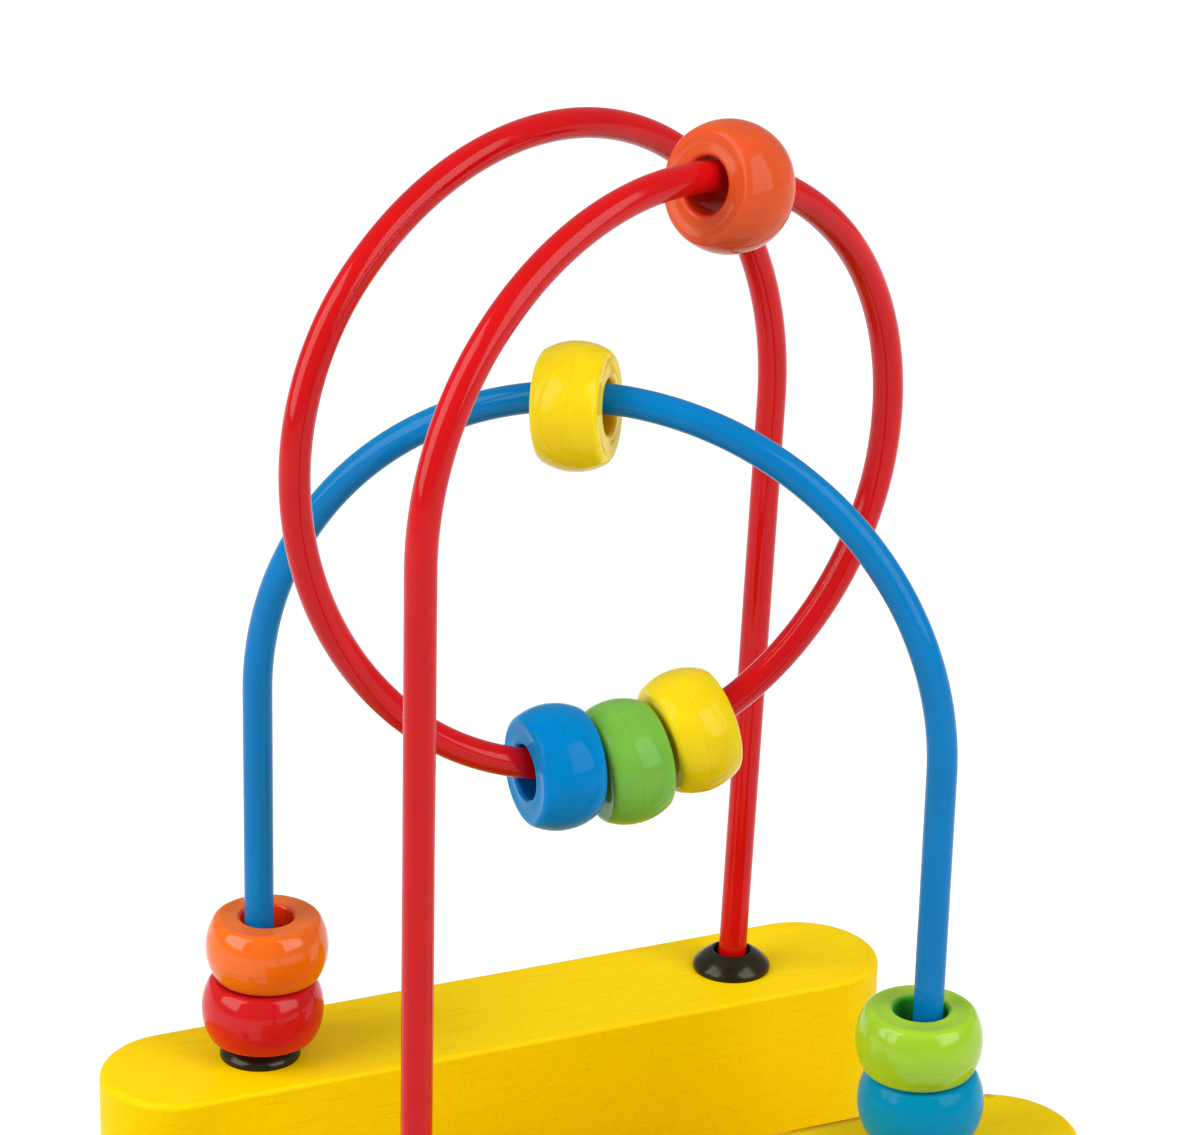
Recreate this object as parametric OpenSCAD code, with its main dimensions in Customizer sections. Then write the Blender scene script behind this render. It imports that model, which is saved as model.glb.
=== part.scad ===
// Bead maze wagon of a wooden activity train.
// Two side boards carry a red and a blue coated wire with sliding beads,
// over a floor board with a coupling and four wheels on axle pegs.
// Millimetres. +X runs along the boards, +Z is up, the ground is z = 0.

/* [Side boards] */
// Length of each side board, round ends included
board_length = 135; // [115:1:170]
// Thickness of each side board and diameter of its round ends
board_thickness = 25; // [22:0.5:32]
// Height of each side board
board_height = 44; // [40:1:60]
// Radius on the long edges of the side boards
board_edge = 1; // [0.6:0.1:2]
// Free width between the two side boards
board_gap = 41; // [36:1:60]
// Height of the boards' lower faces above the ground
ground_clearance = 8; // [5:0.5:10]

/* [Wires] */
// Distance between the wire feet along a board
foot_spacing = 83; // [76:1:92]
// Outer diameter of the coated wire
wire_diameter = 4.6; // [4:0.1:5.2]
// Diameter of the steel core inside the coating
core_diameter = 3.2; // [2.4:0.1:3.4]
// Depth of the coated wire below the top of its board
sleeve_depth = 18; // [12:0.5:20]
// Length of bare core below the coating
core_tail = 6; // [3:0.5:7]
// Height of the blue wire's straight posts above the boards
blue_post_height = 62; // [50:1:80]
// Half the width of the red loop
loop_half_width = 47.5; // [44:0.5:54]
// Height of the loop's upright sides above the boards
loop_side_height = 108.5; // [100:0.5:120]
// Drop from the loop's upright sides to its lowest point
loop_depth = 51.1; // [46:0.1:54]
// Height of the front arch's top above the boards
front_arch_height = 151.6; // [148:0.1:158]
// Radius of the front arch across its top
front_arch_radius = 49.5; // [46:0.5:52]
// Distance from the loop's side to the top of the rear arch
rear_arch_reach = 48.5; // [44:0.5:52]
// Rise of the rear arch above the loop's sides
rear_arch_rise = 43; // [38:0.5:48]
// Outward lean of the red wire's rear post, in degrees
rear_post_lean = 2.5; // [0.5:0.1:3]

/* [Bushes] */
// Largest diameter of a bush
bush_diameter = 12.8; // [12:0.1:14]
// Radius of a bush's round rim
bush_rim = 1.3; // [1:0.05:1.6]
// Height of the middle of that rim over the board
bush_rise = 0.3; // [0.2:0.02:0.6]
// Height that a bush's dome would have at its middle, without the bore
bush_dome = 4; // [3.4:0.1:4.4]
// Diameter of the bore that the wire stands in
bush_bore = 6; // [5.6:0.1:6.4]
// Diameter of the spigot that is pressed into the board
bush_spigot_diameter = 8.6; // [7.6:0.1:10]
// Length of the spigot
bush_spigot_length = 6; // [3:0.5:10]

/* [Beads] */
// Largest diameter of a bead
bead_diameter = 19.3; // [18.4:0.1:21]
// Length of a bead along its hole
bead_length = 10.2; // [9:0.1:11.5]
// Diameter of a bead's hole
bead_hole = 8.2; // [7.8:0.1:9]
// Radius of a bead's bulging flank
bead_flank = 9.3; // [8.8:0.1:14]
// Radius of the shoulder between flank and end face
bead_shoulder = 1.3; // [0.8:0.1:2]
// Radius of the lip round a bead's hole
bead_lip = 0.7; // [0.3:0.1:1]
// Place of the orange bead on the red front arch, in degrees up from its right
red_arch_bead_angle = 77.6; // [60:0.1:110]
// Place of the yellow bead on the blue arch, in degrees up from its front end
blue_arch_bead_angle = 94.1; // [60:0.1:120]
// Place of the middle bead on the red loop, in degrees below its right
loop_bead_angle = 83.5; // [75:0.1:105]
// Lean of the loop's outer beads towards the middle one, in degrees
loop_bead_lean = 9; // [0:0.5:10]
// Sideways shift of the lower bead of a stack on its post
stack_shift_lower = 0.5; // [0:0.1:0.8]
// Sideways shift of the upper bead of a stack on its post
stack_shift_upper = 1.3; // [0:0.1:1.4]

/* [Wheels] */
// Diameter of a wheel
wheel_diameter = 38; // [34:1:44]
// Width of a wheel
wheel_width = 11; // [8:0.5:14]
// Radius on a wheel's rim
wheel_edge = 1.8; // [0.5:0.1:3]
// Distance between the axles
wheel_base = 84; // [76:1:90]
// Diameter of the boss that keeps a wheel off its board
boss_diameter = 16; // [12:0.5:20]
// Height of that boss
boss_height = 1.2; // [0.8:0.1:2]
// Inner diameter of the ring turned into a wheel's face
dish_inner = 18; // [16:0.5:20]
// Outer diameter of that ring
dish_outer = 28; // [24:0.5:30]
// Depth of that ring
dish_depth = 1.2; // [0.5:0.1:2]

/* [Pegs] */
// Diameter of an axle peg's shank
peg_diameter = 7; // [5:0.1:8]
// Depth of an axle peg in its board
peg_depth = 17; // [12:0.5:19]
// Diameter of a peg's domed head
peg_head_diameter = 13; // [11:0.5:15]
// Height of a peg's domed head
peg_head_height = 4.5; // [3:0.1:6]

/* [Floor and coupling] */
// Thickness of the floor board
floor_thickness = 10; // [9:0.5:14]
// Height of the floor board's lower face above the ground
floor_height = 9; // [8:0.5:16]
// Half the length of the floor board between the side boards
floor_half_length = 60; // [56:0.5:64]
// Distance from the floor board's ends out to the coupling peg and to the link's hole
coupling_overhang = 22; // [20:0.5:45]
// Width of the coupling link and of the floor's tongue
link_width = 18; // [17:0.5:20]
// Thickness of the coupling link
link_thickness = 6; // [5:0.5:9]
// Distance from the floor board's end in to the link's pivot
link_pivot_inset = 11; // [8:0.5:16]
// Wood left in the floor board under the link's pivot peg
link_peg_floor = 2; // [1:0.5:4]
// Diameter of the link's coupling hole
link_hole = 11; // [10.8:0.1:12]
// Diameter of the coupling peg
coupling_peg_diameter = 10; // [9:0.1:10.4]
// Diameter of the coupling peg's spigot in the tongue
coupling_spigot_diameter = 7; // [6:0.1:8]
// Height of the coupling peg above the tongue
coupling_peg_height = 18; // [12:0.5:24]
// Chamfer on the coupling peg's end
coupling_peg_chamfer = 1; // [0.5:0.1:2]
// Diameter of the dowels between floor and side boards
dowel_diameter = 6; // [5:0.1:8]
// Length of those dowels
dowel_length = 32; // [24:0.5:36]
// Distance from the wagon's middle to each dowel
dowel_reach = 24; // [18:0.5:28]

/* [Clearances] */
// Radial gap of a glued or pressed round joint
press_gap = 0.02; // [0.01:0.01:0.05]
// Radial gap of a running shaft
running_gap = 0.06; // [0.03:0.01:0.1]
// Gap between neighbours that slide or turn past each other
slide_gap = 0.3; // [0.2:0.05:0.4]
// Height of the collar where the leaning post leaves its bend
collar_height = 0.03; // [0.02:0.01:0.04]
// Length of that collar
collar_length = 0.8; // [0.4:0.1:2]

/* [Hidden] */
$fn = 64;

// Share of a radius that a bend of 45 degrees runs along and across
half_turn = sqrt(0.5);

// How far a cutting shape runs past the face that it cuts
cut_margin = 1;

// Heights and half distances of the main pieces
board_top = ground_clearance + board_height;
board_straight = board_length - board_thickness;
board_y = (board_gap + board_thickness) / 2;
board_face_y = board_y + board_thickness / 2;
foot_x = foot_spacing / 2;
foot_y = board_y;
wire_r = wire_diameter / 2;
core_r = core_diameter / 2;
bead_r = bead_diameter / 2;
bead_half = bead_length / 2;
bead_hole_r = bead_hole / 2;
axle_z = wheel_diameter / 2;
floor_top = floor_height + floor_thickness;

// Blue wire: one half circle in the upright plane of its two feet
blue_radius = norm([foot_x, foot_y]);
blue_heading = atan2(-foot_y, foot_x);

// Red wire: the front and rear arches lie in parallel upright planes
arch_heading = atan2(foot_y, foot_x + loop_half_width);
arch_span = norm([foot_x + loop_half_width, foot_y]);

// Front arch: one top radius between two side radii
front_right_radius =
  (front_arch_height - loop_side_height - front_arch_radius * (1 - half_turn)) / half_turn;
front_right_run = front_right_radius * (1 - half_turn) + front_arch_radius * half_turn;
front_left_run = arch_span - front_right_run;
front_left_radius = (front_left_run - front_arch_radius * half_turn) / (1 - half_turn);
front_post_height =
  front_arch_height - front_left_radius * half_turn - front_arch_radius * (1 - half_turn);

// Lower half of the loop and near half of the rear arch: [side radius, radius at the turn]
loop_radii = quarter_radii(loop_half_width, loop_depth);
rear_radii = quarter_radii(rear_arch_reach, rear_arch_rise);

// Far half of the rear arch: one radius that runs on into the leaning post
rear_arch_top = loop_side_height + rear_arch_rise;
rear_post_radius =
  (arch_span - rear_arch_reach + tan(rear_post_lean) * rear_arch_top)
  / (cos(rear_post_lean) + tan(rear_post_lean) * (1 + sin(rear_post_lean)));
rear_bend_z = rear_arch_top - rear_post_radius * (1 + sin(rear_post_lean));

// Bead outline: the shoulder is a circle inside the flank's circle
flank_centre = bead_r - bead_flank;
shoulder_r = flank_centre
  + sqrt(pow(bead_flank - bead_shoulder, 2) - pow(bead_half - bead_shoulder, 2));
flank_half = (bead_half - bead_shoulder) * bead_flank / (bead_flank - bead_shoulder);

// A bead hangs until its hole nearly meets the wire
bead_hang = bead_hole_r - wire_r - slide_gap;
loop_bottom_radius = loop_radii[1];
loop_bottom_z = board_top + loop_side_height - loop_depth + loop_bottom_radius;
loop_bead_hang =
  bead_hang - loop_bottom_radius + sqrt(pow(loop_bottom_radius, 2) - pow(bead_half, 2));
loop_bead_radius = loop_bottom_radius + loop_bead_hang;

// An outer loop bead leans back, so it hangs less, and its inner shoulder nearly meets the middle bead's face
outer_bead_radius = loop_bead_radius - bead_half * sin(loop_bead_lean);
shoulder_reach = outer_bead_radius - bead_half * sin(loop_bead_lean) - shoulder_r * cos(loop_bead_lean);
shoulder_drop = shoulder_r * sin(loop_bead_lean) - bead_half * cos(loop_bead_lean);
loop_bead_pitch = asin((bead_half + slide_gap) / norm([shoulder_reach, shoulder_drop]))
  - atan2(shoulder_drop, shoulder_reach);

// Bush outline: the rim is a circle inside the dome's circle, whose middle is below the board
bush_rim_r = bush_diameter / 2 - bush_rim;
dome_over_rim = bush_dome - bush_rim;
dome_drop = (pow(bush_rim_r, 2) + pow(bush_rise, 2) - pow(dome_over_rim, 2))
  / (2 * (dome_over_rim - bush_rise));
dome_radius = bush_dome + dome_drop;
dome_reach = bush_rim_r * dome_radius / (dome_radius - bush_rim);

// A stack's lower bead sits on the dome of its bush
lip_middle_r = bead_hole_r + bead_lip - stack_shift_lower;
stack_seat = sqrt(pow(dome_radius + bead_lip + slide_gap, 2) - pow(lip_middle_r, 2)) - dome_drop - bead_lip;
stack_lower_z = board_top + stack_seat + bead_half;
stack_upper_z = stack_lower_z + bead_length + slide_gap;

// Wheels run between their board and the head of their peg
wheel_inner_y = board_face_y + slide_gap + boss_height;
peg_head_y = wheel_inner_y + wheel_width + slide_gap;
peg_shank = peg_head_y - board_face_y + peg_depth;

// The link lies on the floor and turns on a peg of the same kind
link_z = floor_top + slide_gap;
link_pivot_x = floor_half_length - link_pivot_inset;
coupling_reach = floor_half_length + coupling_overhang;
link_peg_depth = floor_thickness - link_peg_floor;
link_peg_shank = link_peg_depth + link_thickness + 2 * slide_gap;

// Radii of two 45 degree bends that turn an upright line level over a run and a rise
function quarter_radii(run, rise) =
  let (spread = half_turn * half_turn - (1 - half_turn) * (1 - half_turn))
  [(rise * half_turn - run * (1 - half_turn)) / spread,
   (run * half_turn - rise * (1 - half_turn)) / spread];

// Steps of the red wire from its front foot to its rear foot, with both ends at a given depth
function red_path(depth) = [
  [0, depth + front_post_height, 0],
  [front_left_radius, 45, 0],
  [front_arch_radius, 90, 0],
  [front_right_radius, 45, 0],
  [loop_radii[0], 45, arch_heading],
  [loop_radii[1], 90, 0],
  [loop_radii[0], 45, 0],
  [rear_radii[0], 45, arch_heading],
  [rear_radii[1], 45, 0],
  [rear_post_radius, 90 + rear_post_lean, 0],
  [0, depth + rear_bend_z / cos(rear_post_lean), 0]
];

// Round bar along +Z that bends towards +X about a radius
module bend(r, radius, sweep, seam) {
  translate([radius, 0, 0])
    rotate([90, 0, 180])
      rotate_extrude(angle = sweep)
        translate([radius, 0])
          rotate(180 + seam)
            circle(r);
}

// Straight step of a path, with a hair's breadth of collar where it leaves a bend
module straight(r, length, seam, collared) {
  rotate([0, 0, -seam])
    cylinder(r = r, h = length);
  if (collared)
    translate([0, 0, -collar_length / 2])
      cylinder(r = r + collar_height, h = collar_length);
}

// Round bar along steps of [radius, sweep, roll], where radius 0 makes a straight step.
// Its seam is carried along the rolls, so that every step meets the next in one circle.
module chain(r, path, i = 0, roll = 0) {
  if (i < len(path)) {
    radius = path[i][0];
    amount = path[i][1];
    seam = roll + path[i][2];
    rotate([0, 0, path[i][2]])
      if (radius == 0) {
        straight(r, amount, seam, i > 0);
        translate([0, 0, amount])
          chain(r, path, i + 1, seam);
      } else {
        bend(r, radius, amount, seam);
        translate([radius, 0, 0])
          rotate([0, amount, 0])
            translate([-radius, 0, 0])
              chain(r, path, i + 1, seam);
      }
  }
}

// Whole run of the red wire at a given radius, with its ends at a given depth
module red_run(r, depth) {
  translate([-foot_x, -foot_y, board_top - depth])
    rotate([0, 0, arch_heading])
      chain(r, red_path(depth));
}

// Frame of the leaning rear post, with its foot at the top of the board
module rear_foot() {
  translate([foot_x, foot_y, board_top])
    rotate([0, 0, arch_heading])
      rotate([0, rear_post_lean, 0])
        children();
}

// Whole run of the blue wire at a given radius, with its ends at a given depth
module blue_run(r, depth) {
  translate([0, 0, board_top])
    rotate([0, 0, blue_heading]) {
      translate([-blue_radius, 0, blue_post_height])
        bend(r, blue_radius, 180, 0);
      for (side = [-1, 1])
        translate([side * blue_radius, 0, -depth])
          cylinder(r = r, h = depth + blue_post_height);
    }
}

// Half of a board's upright section, from its middle plane outwards
module board_half_section() {
  half = board_thickness / 2;
  square([half - board_edge, board_height]);
  translate([0, board_edge])
    square([half, board_height - 2 * board_edge]);
  for (z = [board_edge, board_height - board_edge])
    translate([half - board_edge, z])
      circle(board_edge);
}

// Solid side board, centred on the origin and standing on z = 0
module board_blank() {
  rotate([90, 0, 90])
    translate([0, 0, -board_straight / 2])
      linear_extrude(board_straight)
        for (side = [0, 1])
          mirror([side, 0])
            intersection() {
              board_half_section();
              square([board_thickness, board_height]);
            }
  for (side = [0, 1])
    mirror([side, 0, 0])
      translate([board_straight / 2, 0, 0])
        rotate([0, 0, -90])
          rotate_extrude(angle = 180)
            intersection() {
              board_half_section();
              square([board_thickness, board_height]);
            }
}

// Stepped hole for a bush, the coating and the core, downwards from the foot
module upright_socket() {
  bush_hole();
  wire_hole();
}

// Hole for a bush's spigot
module bush_hole() {
  translate([0, 0, -bush_spigot_length])
    cylinder(r = bush_spigot_diameter / 2 + press_gap, h = bush_spigot_length + cut_margin);
}

// Stepped hole for the coated end and the bare core
module wire_hole() {
  translate([0, 0, -sleeve_depth])
    cylinder(r = wire_r + press_gap, h = sleeve_depth + cut_margin);
  translate([0, 0, -sleeve_depth - core_tail])
    cylinder(r = core_r + press_gap, h = core_tail + cut_margin);
}

// Holes that the axle pegs and dowels leave in the board on one side, +1 rear or -1 front
module board_side_holes(side) {
  for (x = [-1, 1]) {
    translate([x * wheel_base / 2, side * (board_face_y - peg_depth), axle_z])
      rotate([-90 * side, 0, 0])
        cylinder(r = peg_diameter / 2 + press_gap, h = peg_depth + cut_margin);
    translate([x * dowel_reach, side * board_gap / 2, floor_height + floor_thickness / 2])
      rotate([90, 0, 0])
        cylinder(r = dowel_diameter / 2 + press_gap, h = dowel_length, center = true);
  }
}

// Side board behind the wires' rear feet
module side_board_rear() {
  color("gold")
    difference() {
      translate([0, board_y, ground_clearance])
        board_blank();
      translate([-foot_x, foot_y, board_top])
        upright_socket();
      translate([foot_x, foot_y, board_top])
        bush_hole();
      rear_foot()
        wire_hole();
      board_side_holes(1);
    }
}

// Side board under the wires' front feet
module side_board_front() {
  color("gold")
    difference() {
      translate([0, -board_y, ground_clearance])
        board_blank();
      for (x = [-foot_x, foot_x])
        translate([x, -foot_y, board_top])
          upright_socket();
      board_side_holes(-1);
    }
}

// Floor board between the side boards, with the tongue of the coupling peg
module floor_board() {
  color("burlywood")
    difference() {
      translate([0, 0, floor_height])
        linear_extrude(floor_thickness) {
          translate([-floor_half_length, -board_gap / 2])
            square([2 * floor_half_length, board_gap]);
          translate([-coupling_reach, -link_width / 2])
            square([coupling_reach, link_width]);
          translate([-coupling_reach, 0])
            circle(link_width / 2);
        }
      translate([-coupling_reach, 0, floor_height - cut_margin])
        cylinder(r = coupling_spigot_diameter / 2 + press_gap, h = floor_thickness + 2 * cut_margin);
      translate([link_pivot_x, 0, floor_top - link_peg_depth])
        cylinder(r = peg_diameter / 2 + press_gap, h = link_peg_depth + cut_margin);
      for (side = [-1, 1])
        board_side_holes(side);
    }
}

// Four dowels that hold the floor board between the side boards
module floor_dowels() {
  color("tan")
    for (x = [-1, 1], side = [-1, 1])
      translate([x * dowel_reach, side * board_gap / 2, floor_height + floor_thickness / 2])
        rotate([90, 0, 0])
          cylinder(d = dowel_diameter, h = dowel_length - 2 * slide_gap, center = true);
}

// Domed bush at one wire foot, with its spigot in the board, left or right and rear or front
module bush_at(x, y) {
  color("black")
    translate([x * foot_x, y * foot_y, board_top])
      rotate_extrude()
        difference() {
          union() {
            intersection() {
              translate([bush_rim_r, bush_rise])
                circle(bush_rim);
              square(bush_diameter);
            }
            intersection() {
              translate([0, -dome_drop])
                circle(dome_radius);
              square([dome_reach, bush_diameter]);
            }
            translate([0, -bush_spigot_length])
              square([bush_spigot_diameter / 2, bush_spigot_length]);
          }
          translate([0, -bush_spigot_length - cut_margin])
            square([bush_bore / 2, bush_spigot_length + bush_diameter]);
        }
}

module bush_rear_left() bush_at(-1, 1);
module bush_rear_right() bush_at(1, 1);
module bush_front_left() bush_at(-1, -1);
module bush_front_right() bush_at(1, -1);

// Red plastic coating with its bore for the core
module red_wire_sleeve() {
  color("red")
    difference() {
      red_run(wire_r, sleeve_depth);
      red_run(core_r + press_gap, sleeve_depth + cut_margin);
    }
}

// Steel core of the red wire
module red_wire_core() {
  color("silver")
    red_run(core_r, sleeve_depth + core_tail - slide_gap);
}

// Blue plastic coating with its bore for the core
module blue_wire_sleeve() {
  color("dodgerblue")
    difference() {
      blue_run(wire_r, sleeve_depth);
      blue_run(core_r + press_gap, sleeve_depth + cut_margin);
    }
}

// Steel core of the blue wire
module blue_wire_core() {
  color("silver")
    blue_run(core_r, sleeve_depth + core_tail - slide_gap);
}

// Barrel bead round the Z axis: bulging flank, round shoulders, round lip at the hole
module bead() {
  rotate_extrude() {
    translate([bead_hole_r + bead_lip, -bead_half])
      square([shoulder_r - bead_hole_r - bead_lip, bead_length]);
    translate([bead_hole_r, bead_lip - bead_half])
      square([shoulder_r - bead_hole_r, bead_length - 2 * bead_lip]);
    intersection() {
      translate([flank_centre, 0])
        circle(bead_flank);
      translate([bead_hole_r + bead_lip, -flank_half])
        square([bead_diameter, 2 * flank_half]);
    }
    for (end = [-1, 1]) {
      translate([bead_hole_r + bead_lip, end * (bead_half - bead_lip)])
        circle(bead_lip);
      translate([shoulder_r, end * (bead_half - bead_shoulder)])
        circle(bead_shoulder);
    }
  }
}

// Bead at an angle on an upright circle about a centre, in the plane of a heading, leaning from the circle
module bead_on_bend(centre, heading, radius, angle, lean) {
  translate(centre)
    rotate([0, 0, heading])
      rotate([0, -angle, 0])
        translate([radius, 0, 0])
          rotate([0, lean, 0])
            bead();
}

// Bead on the bottom of the red loop, some places left or right of the middle one
module bead_on_loop(place) {
  radius = place == 0 ? loop_bead_radius : outer_bead_radius;
  angle = place * loop_bead_pitch - loop_bead_angle;
  bead_on_bend([0, 0, loop_bottom_z], 0, radius, angle, place * loop_bead_lean);
}

module bead_rear_stack_lower() color("crimson")
  translate([stack_shift_lower - foot_x, foot_y, stack_lower_z]) bead();
module bead_rear_stack_upper() color("darkorange")
  translate([stack_shift_upper - foot_x, foot_y, stack_upper_z]) bead();
module bead_front_stack_lower() color("deepskyblue")
  translate([foot_x - stack_shift_lower, -foot_y, stack_lower_z]) bead();
module bead_front_stack_upper() color("yellowgreen")
  translate([foot_x - stack_shift_upper, -foot_y, stack_upper_z]) bead();
module bead_loop_left() color("dodgerblue") bead_on_loop(-1);
module bead_loop_middle() color("limegreen") bead_on_loop(0);
module bead_loop_right() color("yellow") bead_on_loop(1);

// Orange bead near the top of the red front arch
module bead_red_arch() {
  color("orangered")
    bead_on_bend(
      [front_left_run * cos(arch_heading) - foot_x,
       front_left_run * sin(arch_heading) - foot_y,
       board_top + front_arch_height - front_arch_radius],
      arch_heading, front_arch_radius - bead_hang, red_arch_bead_angle, 0);
}

// Yellow bead at the top of the blue arch
module bead_blue_arch() {
  color("yellow")
    bead_on_bend([0, 0, board_top + blue_post_height], blue_heading,
                 blue_radius - bead_hang, blue_arch_bead_angle, 0);
}

// Turned wheel with its boss towards the board, left or right and rear or front
module wheel_at(x, y) {
  rim = wheel_diameter / 2;
  bore = peg_diameter / 2 + running_gap;
  color("red")
    translate([x * wheel_base / 2, y * wheel_inner_y, axle_z])
      rotate([-90 * y, 0, 0])
        rotate_extrude()
          difference() {
            union() {
              translate([bore, 0])
                square([rim - wheel_edge - bore, wheel_width]);
              translate([bore, wheel_edge])
                square([rim - bore, wheel_width - 2 * wheel_edge]);
              for (z = [wheel_edge, wheel_width - wheel_edge])
                translate([rim - wheel_edge, z])
                  circle(wheel_edge);
              translate([bore, -boss_height])
                square([boss_diameter / 2 - bore, boss_height]);
            }
            translate([dish_inner / 2, wheel_width - dish_depth])
              square([(dish_outer - dish_inner) / 2, dish_depth + cut_margin]);
          }
}

module wheel_rear_left() wheel_at(-1, 1);
module wheel_rear_right() wheel_at(1, 1);
module wheel_front_left() wheel_at(-1, -1);
module wheel_front_right() wheel_at(1, -1);

// Turned peg along +Z: a shank from z = 0 and a domed head on its end
module peg(shank) {
  head_r = peg_head_diameter / 2;
  dome = (pow(head_r, 2) + pow(peg_head_height, 2)) / (2 * peg_head_height);
  color("wheat")
    rotate_extrude() {
      square([peg_diameter / 2, shank]);
      intersection() {
        translate([0, shank + peg_head_height - dome])
          circle(dome);
        translate([0, shank])
          square([head_r, peg_head_height]);
      }
    }
}

// Axle peg in its board, left or right and rear or front
module axle_peg_at(x, y) {
  translate([x * wheel_base / 2, y * (board_face_y - peg_depth), axle_z])
    rotate([-90 * y, 0, 0])
      peg(peg_shank);
}

module axle_peg_rear_left() axle_peg_at(-1, 1);
module axle_peg_rear_right() axle_peg_at(1, 1);
module axle_peg_front_left() axle_peg_at(-1, -1);
module axle_peg_front_right() axle_peg_at(1, -1);

// Link that swings on the floor and drops over the next wagon's peg
module coupling_link() {
  color("burlywood")
    translate([0, 0, link_z])
      linear_extrude(link_thickness)
        difference() {
          union() {
            translate([link_pivot_x, -link_width / 2])
              square([coupling_reach - link_pivot_x, link_width]);
            for (x = [link_pivot_x, coupling_reach])
              translate([x, 0])
                circle(link_width / 2);
          }
          translate([coupling_reach, 0])
            circle(link_hole / 2);
          translate([link_pivot_x, 0])
            circle(peg_diameter / 2 + running_gap);
        }
}

// Peg that the link turns on
module link_pivot_peg() {
  translate([link_pivot_x, 0, floor_top - link_peg_depth])
    peg(link_peg_shank);
}

// Upright peg that the next wagon's link drops over, with its spigot in the tongue
module coupling_peg() {
  r = coupling_peg_diameter / 2;
  wall = coupling_peg_height - coupling_peg_chamfer;
  color("wheat")
    translate([-coupling_reach, 0, floor_top]) {
      translate([0, 0, -floor_thickness])
        cylinder(d = coupling_spigot_diameter, h = floor_thickness);
      cylinder(r = r, h = wall);
      translate([0, 0, wall])
        cylinder(r1 = r, r2 = r - coupling_peg_chamfer, h = coupling_peg_chamfer);
    }
}

side_board_rear();
side_board_front();
floor_board();
floor_dowels();
bush_rear_left();
bush_rear_right();
bush_front_left();
bush_front_right();
red_wire_sleeve();
red_wire_core();
blue_wire_sleeve();
blue_wire_core();
bead_rear_stack_lower();
bead_rear_stack_upper();
bead_front_stack_lower();
bead_front_stack_upper();
bead_loop_left();
bead_loop_middle();
bead_loop_right();
bead_red_arch();
bead_blue_arch();
wheel_rear_left();
wheel_rear_right();
wheel_front_left();
wheel_front_right();
axle_peg_rear_left();
axle_peg_rear_right();
axle_peg_front_left();
axle_peg_front_right();
coupling_link();
link_pivot_peg();
coupling_peg();
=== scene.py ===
"""Looks of a bead maze wagon: painted boards, coated wires, moulded beads, turned wheels and pegs."""

import logging
import math
from dataclasses import dataclass, field
from enum import Enum
from typing import Sequence, Union

import bmesh
import bpy
import numpy as np
from mathutils import Matrix, Vector


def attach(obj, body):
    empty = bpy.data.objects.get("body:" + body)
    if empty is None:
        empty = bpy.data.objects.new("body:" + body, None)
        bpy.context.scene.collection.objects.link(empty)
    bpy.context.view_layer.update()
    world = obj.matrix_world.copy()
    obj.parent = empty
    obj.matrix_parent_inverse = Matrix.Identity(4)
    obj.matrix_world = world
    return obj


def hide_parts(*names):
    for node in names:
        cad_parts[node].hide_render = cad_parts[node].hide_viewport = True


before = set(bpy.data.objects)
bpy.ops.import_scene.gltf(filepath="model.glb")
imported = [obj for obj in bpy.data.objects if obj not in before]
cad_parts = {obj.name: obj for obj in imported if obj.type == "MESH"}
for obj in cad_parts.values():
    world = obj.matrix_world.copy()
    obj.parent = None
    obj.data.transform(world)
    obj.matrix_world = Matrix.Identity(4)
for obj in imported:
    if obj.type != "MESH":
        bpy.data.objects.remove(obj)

Array = np.ndarray
Colour = tuple[float, float, float]
Step = tuple[float, float, float]

LOG = logging.getLogger("bead_maze_wagon")
WAGON = "wagon"
MM = 0.001
MERGE_DISTANCE = 2e-7
SAME = 1e-6
COS_45 = math.sqrt(0.5)

# Watts for each square metre of a lamp whose face is as bright as white
WHITE_WATTS = 4.0

# Places that several pieces share, and the air between pieces that move, in millimetres
FOOT_X = 41.5
FOOT_Y = 33.0
BOARD_TOP = 52.0
GAP = 0.3

# Longest steps along the straight and the bent stretches of a wire, in millimetres
STRAIGHT_STEP = 3.0
BEND_STEP = 0.9

# Sockets of a Mix node that mixes colours
MIX_SHARE, MIX_LOW, MIX_HIGH, MIX_RESULT = 0, 6, 7, 2


class Row(Enum):
    """Side of the wagon, as the sign of its Y."""

    REAR = 1
    FRONT = -1


class End(Enum):
    """End of the wagon, as the sign of its X."""

    LEFT = -1
    RIGHT = 1


class Axis(Enum):
    """Axis of the wagon's frame, as a unit vector."""

    X = (1.0, 0.0, 0.0)
    Y = (0.0, 1.0, 0.0)
    Z = (0.0, 0.0, 1.0)


CORNERS = [(row, end, f"{row.name}_{end.name}".lower()) for row in Row for end in End]


@dataclass
class Sheet:
    """Grid of points in millimetres, whose columns close into rings, with named values at its points."""

    points: Array
    rows_closed: bool = False
    values: dict[str, Array] = field(default_factory=dict)

    def quads(self) -> Array:
        """Returns the corner numbers of the quads between neighbouring rows and columns."""
        rows, columns = self.points.shape[:2]
        number = np.arange(rows * columns).reshape(rows, columns)
        number = np.hstack([number, number[:, :1]])
        if self.rows_closed:
            number = np.vstack([number, number[:1]])
        corners = [number[:-1, :-1], number[:-1, 1:], number[1:, 1:], number[1:, :-1]]
        return np.stack(corners, axis=-1).reshape(-1, 4)

    def moved(self, matrix: Array) -> "Sheet":
        """Returns the sheet carried into the frame of a 4 by 4 matrix in millimetres."""
        points = self.points @ matrix[:3, :3].T + matrix[:3, 3]
        return Sheet(points, self.rows_closed, self.values)


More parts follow.
